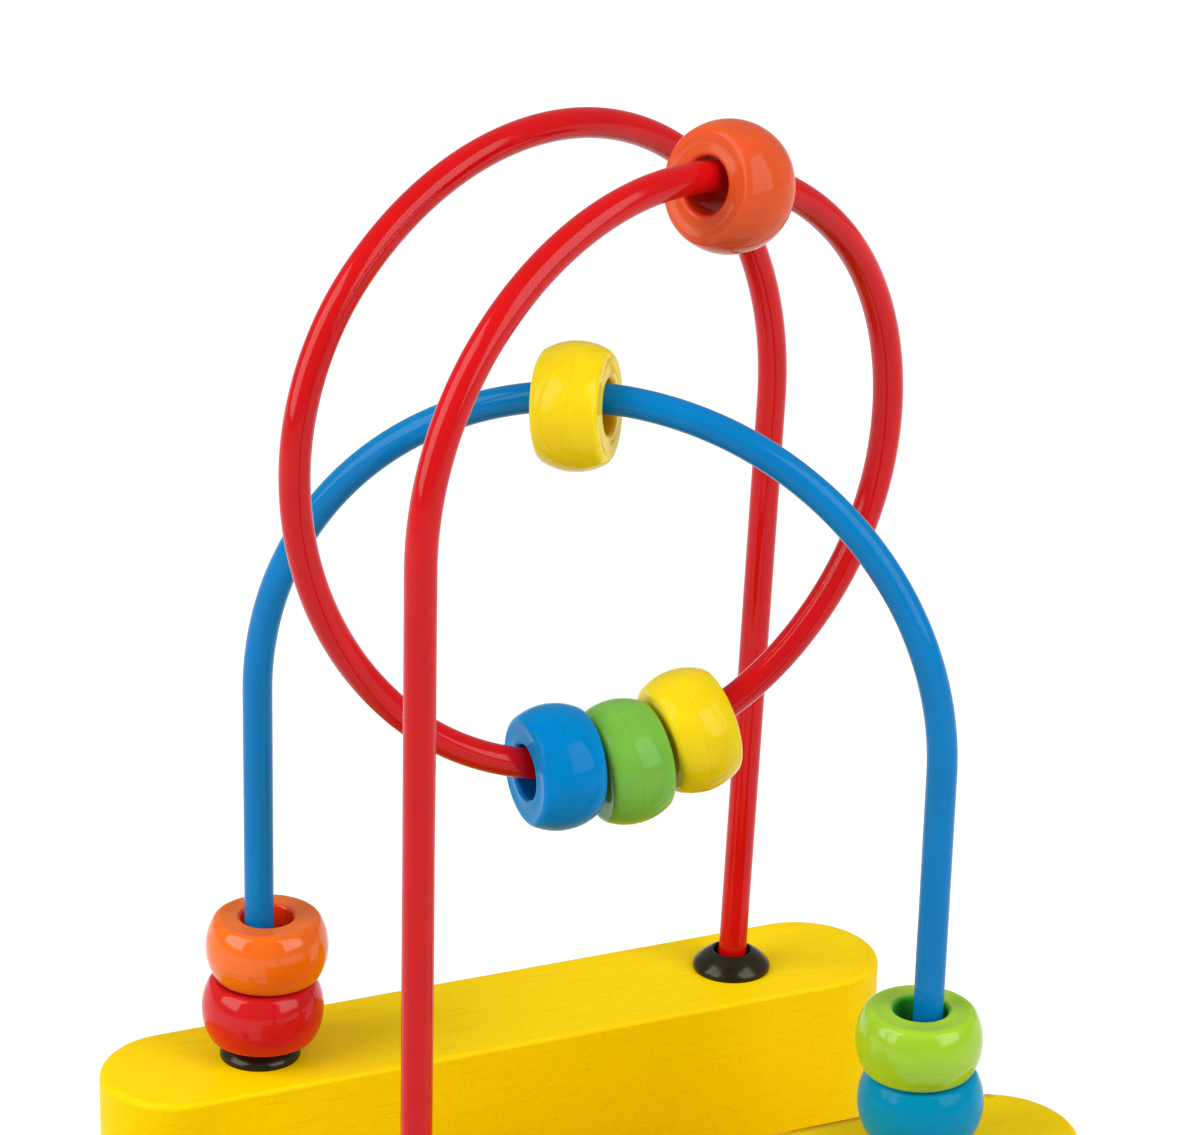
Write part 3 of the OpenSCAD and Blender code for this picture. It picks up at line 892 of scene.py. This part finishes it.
@dataclass
class MazeBeads:
    """Nine barrel beads: a bulging flank, round shoulders, slightly dished ends and a round-lipped hole."""

    wires: MazeWires
    bushes: WireBushes
    radius: float = 9.65
    half: float = 5.1
    hole: float = 4.1
    flank: float = 9.3
    shoulder: float = 1.3
    lip: float = 0.7
    dish: float = 0.1
    arch_angle: float = 77.6
    blue_angle: float = 94.1
    loop_angle: float = 83.5
    loop_lean: float = 9.0
    shift_lower: float = 0.5
    shift_upper: float = 1.3
    turns: int = 96

    @property
    def shoulder_radius(self) -> float:
        """Radius at which the end face meets its shoulder: the shoulder's circle lies inside the flank's."""
        reach = (self.flank - self.shoulder) ** 2 - (self.half - self.shoulder) ** 2
        return self.radius - self.flank + math.sqrt(reach)

    @property
    def hang(self) -> float:
        """Distance from the wire's middle to the hole's, for a bead that hangs just off the wire."""
        return self.hole - self.wires.radius - GAP

    def profile(self) -> Array:
        """Closed profile of [radius, height along the hole].

        Bore, lip, shoulder and flank are lines and arcs. The face between lip and shoulder sinks by half a
        sine wave, and the lower half mirrors the upper one.
        """
        rim, mouth = self.shoulder_radius, self.hole + self.lip
        centre = self.radius - self.flank
        turn = math.degrees(math.atan2(self.half - self.shoulder, rim - centre))
        share = np.linspace(0, 1, 16)
        face = np.column_stack([mouth + (rim - mouth) * share, self.half - self.dish * np.sin(np.pi * share)])
        upper = joined(
            line((self.hole, 0), (self.hole, self.half - self.lip), 3),
            arc((mouth, self.half - self.lip), self.lip, 180, 90, 9),
            face,
            arc((rim, self.half - self.shoulder), self.shoulder, 90, turn, 12),
            arc((centre, 0), self.flank, turn, 0, 28),
        )
        return np.vstack([upper, upper[-2:0:-1] * (1, -1)])

    @staticmethod
    def on_bend(centre: Sequence[float], heading: float, radius: float, angle: float,
                lean: float = 0.0) -> Array:
        """Frame of a bead on an upright circle.

        Args:
            centre: Middle of the circle.
            heading: Angle of its plane from +X, in degrees.
            radius: Distance of the bead from the centre.
            angle: Place of the bead, in degrees up from the heading.
            lean: Angle by which its hole turns back from the circle, in degrees.

        Returns:
            4 by 4 matrix with the hole along Z.
        """
        level = np.array([math.cos(math.radians(heading)), math.sin(math.radians(heading)), 0.0])
        up = np.array(Axis.Z.value)
        place, turn = math.radians(angle), math.radians(angle - lean)
        origin = np.asarray(centre) + radius * (level * math.cos(place) + up * math.sin(place))
        out = level * math.cos(turn) + up * math.sin(turn)
        return frame_along(origin, up * math.cos(turn) - level * math.sin(turn), out)

    def on_loop(self, place: int) -> Array:
        """Frame of a loop bead, some places to the right of the middle one.

        An outer bead leans back towards the middle one. Its inner shoulder stands a gap off the middle
        bead's face: the angle's sine times reach plus its cosine times drop is half a bead and the gap.

        Args:
            place: -1 for the left bead, 0 for the middle one, 1 for the right one.

        Returns:
            4 by 4 matrix with the hole along Z.
        """
        wires, lean = self.wires, math.radians(self.loop_lean)
        bottom = wires.quarter(wires.loop_half, wires.loop_depth)[1]
        radius = self.hang + math.sqrt(bottom ** 2 - self.half ** 2)
        radius -= abs(place) * self.half * math.sin(lean)
        reach = radius - self.half * math.sin(lean) - self.shoulder_radius * math.cos(lean)
        drop = self.shoulder_radius * math.sin(lean) - self.half * math.cos(lean)
        pitch = math.asin((self.half + GAP) / math.hypot(reach, drop)) - math.atan2(drop, reach)
        centre = (0, 0, BOARD_TOP + wires.loop_side - wires.loop_depth + bottom)
        angle = place * math.degrees(pitch) - self.loop_angle
        return self.on_bend(centre, 0, radius, angle, place * self.loop_lean)

    def on_post(self, row: Row, end: End, upper: bool) -> Array:
        """Frame of a stack bead: the lower one stands a gap off its bush's dome, the upper one off the lower.

        Args:
            row: Side of the wagon.
            end: End of the wagon.
            upper: Whether it is the upper bead.

        Returns:
            4 by 4 matrix with the hole along Z.
        """
        ball, drop = self.bushes.dome_circle()
        mouth = self.hole + self.lip - self.shift_lower
        height = math.sqrt((ball + self.lip + GAP) ** 2 - mouth ** 2) - drop - self.lip + self.half
        height += (2 * self.half + GAP) * upper
        shift = self.shift_upper if upper else self.shift_lower
        return frame_along((end.value * (FOOT_X - shift), row.value * FOOT_Y, BOARD_TOP + height))

    def on_arches(self) -> tuple[Array, Array]:
        """Frames of the beads on the red front arch and on the blue arch."""
        wires = self.wires
        turn, run = math.radians(wires.heading), wires.front_run
        centre = (run * math.cos(turn) - FOOT_X, run * math.sin(turn) - FOOT_Y,
                  BOARD_TOP + wires.front_top - wires.front_radius)
        red = self.on_bend(centre, wires.heading, wires.front_radius - self.hang, self.arch_angle)
        heading = math.degrees(math.atan2(-FOOT_Y, FOOT_X))
        radius = math.hypot(FOOT_X, FOOT_Y) - self.hang
        return red, self.on_bend((0, 0, BOARD_TOP + wires.blue_post), heading, radius, self.blue_angle)

    def build(self, finishes: dict[str, BeadPlastic]) -> None:
        """Makes the nine beads.

        Args:
            finishes: Finish of each material slot of the beads.
        """
        materials = {slot: finish.material() for slot, finish in finishes.items()}
        red, blue = self.on_arches()
        places = [
            ("bead_rear_stack_lower", self.on_post(Row.REAR, End.LEFT, False), "bead_red"),
            ("bead_rear_stack_upper", self.on_post(Row.REAR, End.LEFT, True), "bead_orange"),
            ("bead_front_stack_lower", self.on_post(Row.FRONT, End.RIGHT, False), "bead_teal"),
            ("bead_front_stack_upper", self.on_post(Row.FRONT, End.RIGHT, True), "bead_lime"),
            ("bead_loop_left", self.on_loop(-1), "bead_blue"),
            ("bead_loop_middle", self.on_loop(0), "bead_green"),
            ("bead_loop_right", self.on_loop(1), "bead_yellow"),
            ("bead_red_arch", red, "bead_vermilion"),
            ("bead_blue_arch", blue, "bead_yellow"),
        ]
        sheet = revolve(self.profile(), self.turns, True)
        for node, place, slot in places:
            make_piece(f"moulded_{node}", [sheet.moved(place)], materials[slot], node, node)


@dataclass(frozen=True)
class TurnedPeg:
    """Turned peg: an eased shank, and a head domed on a circle."""

    radius: float = 3.5
    head: float = 6.5
    height: float = 4.5
    ease: float = 0.4
    turns: int = 56

    def sheet(self, shank: float) -> Sheet:
        """Carries the peg's profile, from pole to pole, round Z.

        Args:
            shank: Length of the shank, from 0 upwards.

        Returns:
            Sheet of the peg.
        """
        ball = (self.head ** 2 + self.height ** 2) / (2 * self.height)
        middle = shank + self.height - ball
        start = math.degrees(math.asin((shank + self.ease - middle) / ball))
        crown = arc((0, middle), ball, start, 90, 20)
        crown[-1, 0] = 0.0
        edge, ease = crown[0, 0], self.ease
        below = rounded([(0, 0), (self.radius, 0, ease), (self.radius, shank),
                         (edge, shank, ease), (edge, shank + ease)])
        return revolve(joined(below, crown), self.turns, False)


@dataclass
class Running:
    """Four turned wheels on their axle pegs."""

    peg: TurnedPeg = TurnedPeg()
    peg_depth: float = 17.0
    base: float = 84.0
    rim: float = 19.0
    width: float = 11.0
    edge: float = 1.8
    soft: float = 0.5
    boss: float = 8.0
    boss_height: float = 1.2
    bore: float = 3.56
    dish_inner: float = 9.0
    dish_outer: float = 14.0
    dish_depth: float = 1.2
    face_y: float = 45.5
    worn_width: float = 1.3
    edge_points: int = 10
    turns: int = 96

    def wheel(self) -> Sheet:
        """Carries the wheel's profile round Z: boss below 0, back, rim, face with a turned ring, and bore.

        Returns:
            Sheet whose value edge marks the rim's two edges.
        """
        w, e, s = self.width, self.edge, self.soft
        back, floor = -self.boss_height, self.width - self.dish_depth
        profile = rounded([
            (self.bore, back), (self.boss, back, s), (self.boss, 0),
            (self.rim, 0, e), (self.rim, w, e),
            (self.dish_outer, w, s), (self.dish_outer, floor),
            (self.dish_inner, floor), (self.dish_inner, w, s),
            (self.bore, w), (self.bore, back),
        ], self.edge_points)[:-1]
        sheet = revolve(profile, self.turns, True)
        near = sheet.values["radial"] > self.rim - self.worn_width
        outer = (sheet.values["axial"] < e) | (sheet.values["axial"] > w - e)
        sheet.values["edge"] = (near & outer).astype(float)
        return sheet

    def build(self, paint: WheelPaint, wood: BareWood) -> None:
        """Makes the wheels in their paint and the pegs in bare wood."""
        red, bare = paint.material(), wood.material()
        wheel = self.wheel()
        peg = self.peg.sheet(GAP * 2 + self.boss_height + self.width + self.peg_depth)
        wheel_y, peg_y = self.face_y + GAP + self.boss_height, self.face_y - self.peg_depth
        for row, end, corner in CORNERS:
            x, out = end.value * self.base / 2, (0, row.value, 0)
            node = f"wheel_{corner}"
            sheet = wheel.moved(frame_along((x, row.value * wheel_y, self.rim), out))
            make_piece(f"turned_{node}", [sheet], red, node, node)
            node = f"axle_peg_{corner}"
            sheet = peg.moved(frame_along((x, row.value * peg_y, self.rim), out))
            make_piece(f"turned_{node}", [sheet], bare, node)


@dataclass
class FloorAndCoupling:
    """Floor board with its tongue, the swinging link, and the pegs of both."""

    peg: TurnedPeg = TurnedPeg()
    peg_depth: float = 8.0
    half_length: float = 60.0
    half_width: float = 20.5
    low: float = 9.0
    high: float = 19.0
    corner: float = 1.2
    fillet: float = 2.0
    ease: float = 0.6
    reach: float = 82.0
    link_half: float = 9.0
    link_thickness: float = 6.0
    pivot: float = 49.0
    pivot_bore: float = 3.56
    hole: float = 5.5
    coupling_radius: float = 5.0
    coupling_height: float = 18.0
    coupling_turns: int = 64
    chamfer: float = 1.0
    spigot: float = 3.5
    proud: float = 0.05

    def floor_sheet(self) -> Sheet:
        """Prism with eased edges over the outline of board and tongue, whose corners are small arcs.

        A row of a face is a share of the faces' rim. A row of the wall stands out from the rim, along the
        outline's normals, as an eased wall does.
        """
        x, y, tongue = self.half_length, self.half_width, self.link_half
        rear = joined(
            arc((self.reach, 0), tongue, 0, 90, 20),
            rounded([(self.reach, tongue), (x, tongue, self.fillet),
                     (x, y, self.corner), (-x, y, self.corner), (-x, 0)]),
        )
        outline = np.vstack([rear, rear[-2:0:-1] * (1, -1)]) * (-1, 1)
        ahead = np.roll(outline, -1, axis=0) - np.roll(outline, 1, axis=0)
        ahead /= np.linalg.norm(ahead, axis=1)[:, None]
        normals = np.column_stack([-ahead[:, 1], ahead[:, 0]])
        wall = eased_wall(self.low, self.high, self.ease)
        share = np.array([0.0, 0.35, 0.7, 0.95, 0.995])
        rim = outline - normals * self.ease
        face = rim * share[:, None, None]
        level = np.concatenate([face, rim + normals * wall[:, :1, None], face[::-1]])
        return Sheet(raised(level, np.pad(wall[:, 1], len(share), mode="edge")))

    def link_wall(self) -> Array:
        """Eased wall of the link, which lies on the floor."""
        low = self.high + GAP
        return eased_wall(low, low + self.link_thickness, self.ease)

    def link_flats(self, end: End) -> Sheet:
        """Upper and lower flat of one half of the link, joined through the hole of that half.

        The half's outline is half a circle with two straight sides, closed by a line across the middle of
        the link. A row of a flat lies a share of the way from the hole's rim to that outline. The rows
        between the flats go down the hole, which is an eased wall turned inside out.

        Args:
            end: Half with the pivot, on the left, or with the hole for the next wagon's peg, on the right.

        Returns:
            Sheet with one column for each point of the outline.
        """
        out, cut, wall = self.link_half - self.ease, (self.pivot - self.reach) / 2, self.link_wall()
        hole, middle = (self.hole, self.reach) if end is End.RIGHT else (self.pivot_bore, self.pivot)
        outline = joined(
            arc((0, 0), out, -90, 90, 40),
            line((0, out), (cut, out), 6),
            line((cut, out), (cut, -out), 10),
            line((cut, -out), (0, -out), 6),
        )[:-1]
        flat = np.array([1.0, 0.97, 0.7, 0.4, 0.03])
        share = np.concatenate([flat, wall[:, 0] * 0, flat[::-1]])[:, None, None]
        inward = np.pad(wall[:, 0], len(flat))[:, None, None]
        away = outline / np.linalg.norm(outline, axis=1)[:, None]
        rim = away * (hole + self.ease)
        level = rim - away * inward + (outline - rim) * share
        height = np.pad(wall[:, 1], len(flat), mode="edge")
        return Sheet(raised(level * (end.value, 1) + (middle, 0), height))

    def link_sheets(self) -> list[Sheet]:
        """Flats of both halves of the link, and the wall round it.

        The wall stands out from the flats' outline along the outline's normal, which points away from the
        nearest place on the line between the two holes.
        """
        out, middle, wall = self.link_half - self.ease, (self.pivot + self.reach) / 2, self.link_wall()
        right = joined(
            line((middle, -out), (self.reach, -out), 6),
            arc((self.reach, 0), out, -90, 90, 40),
            line((self.reach, out), (middle, out), 6),
        )
        outline = joined(right, (2 * middle, 0) - right)[:-1]
        normals = (outline - np.clip(outline, (self.pivot, 0), (self.reach, 0))) / out
        ring = Sheet(raised(outline + normals * wall[:, :1, None], wall[:, 1]))
        return [self.link_flats(End.LEFT), self.link_flats(End.RIGHT), ring]

    def coupling_sheet(self) -> Sheet:
        """Carries the coupling peg's profile, from pole to pole, round Z: spigot, shoulder, wall and chamfer.

        The spigot's end stands a hair proud of the floor's lower face, so that it shows there.
        """
        top, r, c = self.high + self.coupling_height, self.coupling_radius, self.chamfer
        bottom = self.low - self.proud
        profile = rounded([(0, bottom), (self.spigot, bottom), (self.spigot, self.high), (r, self.high),
                           (r, top - c), (r - c, top), (0, top)])
        return revolve(profile, self.coupling_turns, False)

    def build(self, board: BareWood, upright: BareWood) -> None:
        """Makes floor and link in the board's wood, and the pegs in wood with upright grain."""
        flat, round_wood = board.material(), upright.material()
        make_piece("sanded_floor_board", [self.floor_sheet()], flat, "floor_board")
        link = "coupling_link"
        make_piece(f"sanded_{link}", self.link_sheets(), flat, link, link)
        peg = self.peg.sheet(self.peg_depth + self.link_thickness + 2 * GAP)
        peg = peg.moved(frame_along((self.pivot, 0, self.high - self.peg_depth)))
        make_piece("turned_link_peg", [peg], round_wood, "link_pivot_peg")
        peg = self.coupling_sheet().moved(frame_along((-self.reach, 0, 0)))
        make_piece("turned_coupling_peg", [peg], round_wood, "coupling_peg")


def dress_hidden(finishes: dict[str, bpy.types.Material]) -> None:
    """Gives the nodes that stay inside the wagon their finish.

    Args:
        finishes: Material of each node.
    """
    for node, material in finishes.items():
        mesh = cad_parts[node].data
        mesh.materials.clear()
        mesh.materials.append(material)
        LOG.info("dressed %s", node)


def rotation(angle: float, axis: str) -> Matrix:
    """Rotation about an axis by an angle in degrees."""
    return Matrix.Rotation(math.radians(angle), 4, axis)


@dataclass(frozen=True)
class Softbox:
    """Rectangular lamp that faces the wagon, with its angles in degrees.

    turn is its angle to the right of the camera, seen from the wagon, and lift its angle above the horizon.
    wide and high are half its size, as angles seen from the wagon. level is its brightness, where 1 is white.
    """

    name: str
    turn: float
    lift: float
    level: float
    wide: float = 21.0
    high: float = 25.0
    distance: float = 0.9

    def add(self, yaw: float, aim: Sequence[float]) -> None:
        """Adds the lamp.

        Args:
            yaw: Heading of the camera, in degrees.
            aim: Point that the lamp faces, in metres.
        """
        lamp = bpy.data.lights.new(self.name, "AREA")
        lamp.shape = "RECTANGLE"
        lamp.size = 2 * self.distance * math.tan(math.radians(self.wide))
        lamp.size_y = 2 * self.distance * math.tan(math.radians(self.high))
        lamp.energy = WHITE_WATTS * lamp.size * lamp.size_y * self.level
        facing = rotation(self.turn - yaw - 180, "Z") @ rotation(self.lift - 90, "X")
        place = Matrix.Translation(aim) @ facing @ Matrix.Translation((0, 0, self.distance))
        add_object(self.name, lamp).matrix_world = place


@dataclass
class Studio:
    """White studio: a pale floor, two softboxes beside the camera, soft light all round, and the camera."""

    eye: tuple[float, float, float] = (-237.52, -516.01, 358.89)
    yaw: float = 24.76
    pitch: float = 21.02
    roll: float = 1.40
    focal: float = 4116.0
    image_width: float = 1200.0
    sensor: float = 36.0
    clip: tuple[float, float] = (0.05, 50.0)
    aim: tuple[float, float, float] = (0.0, 0.0, 0.12)
    softboxes: tuple[Softbox, ...] = (
        Softbox("softbox_left", turn=-66, lift=31, level=3.4),
        Softbox("softbox_right", turn=57, lift=32, level=2.9),
    )
    sky: float = 0.42
    sky_tint: Colour = (0.96, 0.98, 1.0)
    floor_half: float = 6.0
    floor_dark: float = 0.43
    floor_light: float = 0.47
    near: float = 0.35
    far: float = 1.1
    near_glow: float = 0.70
    far_glow: float = 0.86

    def camera(self) -> None:
        """Places the camera: from +Y it turns right by yaw and down by pitch, and then tilts by roll."""
        lens = bpy.data.cameras.new("camera")
        lens.sensor_width = self.sensor
        lens.lens = self.sensor * self.focal / self.image_width
        lens.clip_start, lens.clip_end = self.clip
        facing = rotation(-self.yaw, "Z") @ rotation(90 - self.pitch, "X") @ rotation(self.roll, "Z")
        camera = add_object("camera", lens)
        camera.matrix_world = Matrix.Translation(Vector(self.eye) * MM) @ facing
        bpy.context.scene.camera = camera

    @staticmethod
    def seen(look: Finish) -> Signal:
        """1 on rays from the camera, from a gloss or through glass, 0 on the rays that light."""
        path = look.node("ShaderNodeLightPath", {}, {}, "Is Camera Ray")
        outputs = path.socket.node.outputs
        gloss = Signal(look, outputs["Is Glossy Ray"])
        through = Signal(look, outputs["Is Transmission Ray"])
        return path.math("MAXIMUM", gloss).math("MAXIMUM", through)

    def floor(self) -> None:
        """Adds a wide pale floor that looks white and keeps a soft shadow.

        Its glow grows with the distance from the wagon, as the lamps' light falls off.
        """
        mesh = bpy.data.meshes.new("floor")
        half = self.floor_half
        corners = [(-half, -half, 0), (half, -half, 0), (half, half, 0), (-half, half, 0)]
        mesh.from_pydata(corners, [], [(0, 1, 2, 3)])
        look = Finish("pale_floor", Roughness=0.8, Emission_Strength=1.0)
        white = (1.0, 1.0, 1.0)
        look.feed("Base Color", look.mottle(look.noise(3, 2.0), white, self.floor_dark, self.floor_light))
        away = look.node("ShaderNodeVectorMath", {"operation": "LENGTH"}, {0: look.coordinates(1)}, "Value")
        glow = look.mottle(away.between(self.near, self.far), white, self.near_glow, self.far_glow)
        look.feed("Emission Color", look.blend(self.seen(look), shade(white, 0.0), glow))
        mesh.materials.append(look.material)
        floor = add_object("floor", mesh)

    def world(self) -> None:
        """Lights the wagon softly from all round."""
        world = bpy.data.worlds.new("studio_grey")
        world.use_nodes = True
        back = world.node_tree.nodes["Background"]
        back.inputs["Color"].default_value = (*self.sky_tint, 1.0)
        back.inputs["Strength"].default_value = self.sky
        bpy.context.scene.world = world

    def build(self) -> None:
        """Sets up camera, floor, light and view."""
        self.camera()
        self.floor()
        self.world()
        for softbox in self.softboxes:
            softbox.add(self.yaw, self.aim)
        bpy.context.scene.view_settings.view_transform = "Standard"


def bead_finishes() -> dict[str, BeadPlastic]:
    """Returns the plastic of each bead slot, from its tint, the painted light in its hole, and its gloss."""
    looks = {
        "bead_red": (rgb(201, 20, 24), rgb(150, 0, 6), 0.24),
        "bead_orange": (rgb(232, 108, 14), rgb(255, 52, 4), 0.36),
        "bead_vermilion": (rgb(212, 84, 38), rgb(200, 34, 8), 0.14),
        "bead_yellow": (rgb(236, 207, 20), rgb(226, 160, 0), 0.12),
        "bead_lime": (rgb(158, 197, 38), rgb(16, 170, 52), 0.34),
        "bead_green": (rgb(120, 181, 67), rgb(40, 130, 30), 0.16),
        "bead_blue": (rgb(0, 128, 192), rgb(0, 70, 140), 0.06),
        "bead_teal": (rgb(0, 138, 176), rgb(0, 84, 120), 0.07),
    }
    return {slot: BeadPlastic(f"{slot}_plastic", *look) for slot, look in looks.items()}


def main() -> None:
    """Builds the sub-assemblies in order."""
    logging.basicConfig(level=logging.INFO, format="%(name)s: %(message)s")
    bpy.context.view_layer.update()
    Studio().build()
    beech, peg_beech = rgb(214, 178, 128), rgb(226, 194, 148)
    wires, bushes = MazeWires(), WireBushes()
    SideBoards().build(BoardPaint("yellow_board_paint", rgb(250, 212, 0), rgb(196, 112, 10)))
    bushes.build(BushPlastic("black_bush_plastic", rgb(30, 24, 9), rgb(120, 110, 90)))
    red = WireCoating("red_wire_coating", rgb(200, 8, 14), 0.21)
    wires.build(red, WireCoating("blue_wire_coating", rgb(2, 118, 182), 0.12))
    MazeBeads(wires, bushes).build(bead_finishes())
    wheel_paint = WheelPaint("red_wheel_paint", rgb(196, 18, 20), beech)
    Running().build(wheel_paint, BareWood("axle_peg_beech", peg_beech, Axis.Y))
    board_beech = BareWood("floor_beech", beech, Axis.X)
    FloorAndCoupling().build(board_beech, BareWood("upright_peg_beech", peg_beech, Axis.Z))
    steel = DrawnSteel("core_drawn_steel", rgb(150, 150, 152)).material()
    dowel = BareWood("dowel_beech", peg_beech, Axis.Y).material()
    dress_hidden({"red_wire_core": steel, "blue_wire_core": steel, "floor_dowels": dowel})


if __name__ == "__main__":
    main()
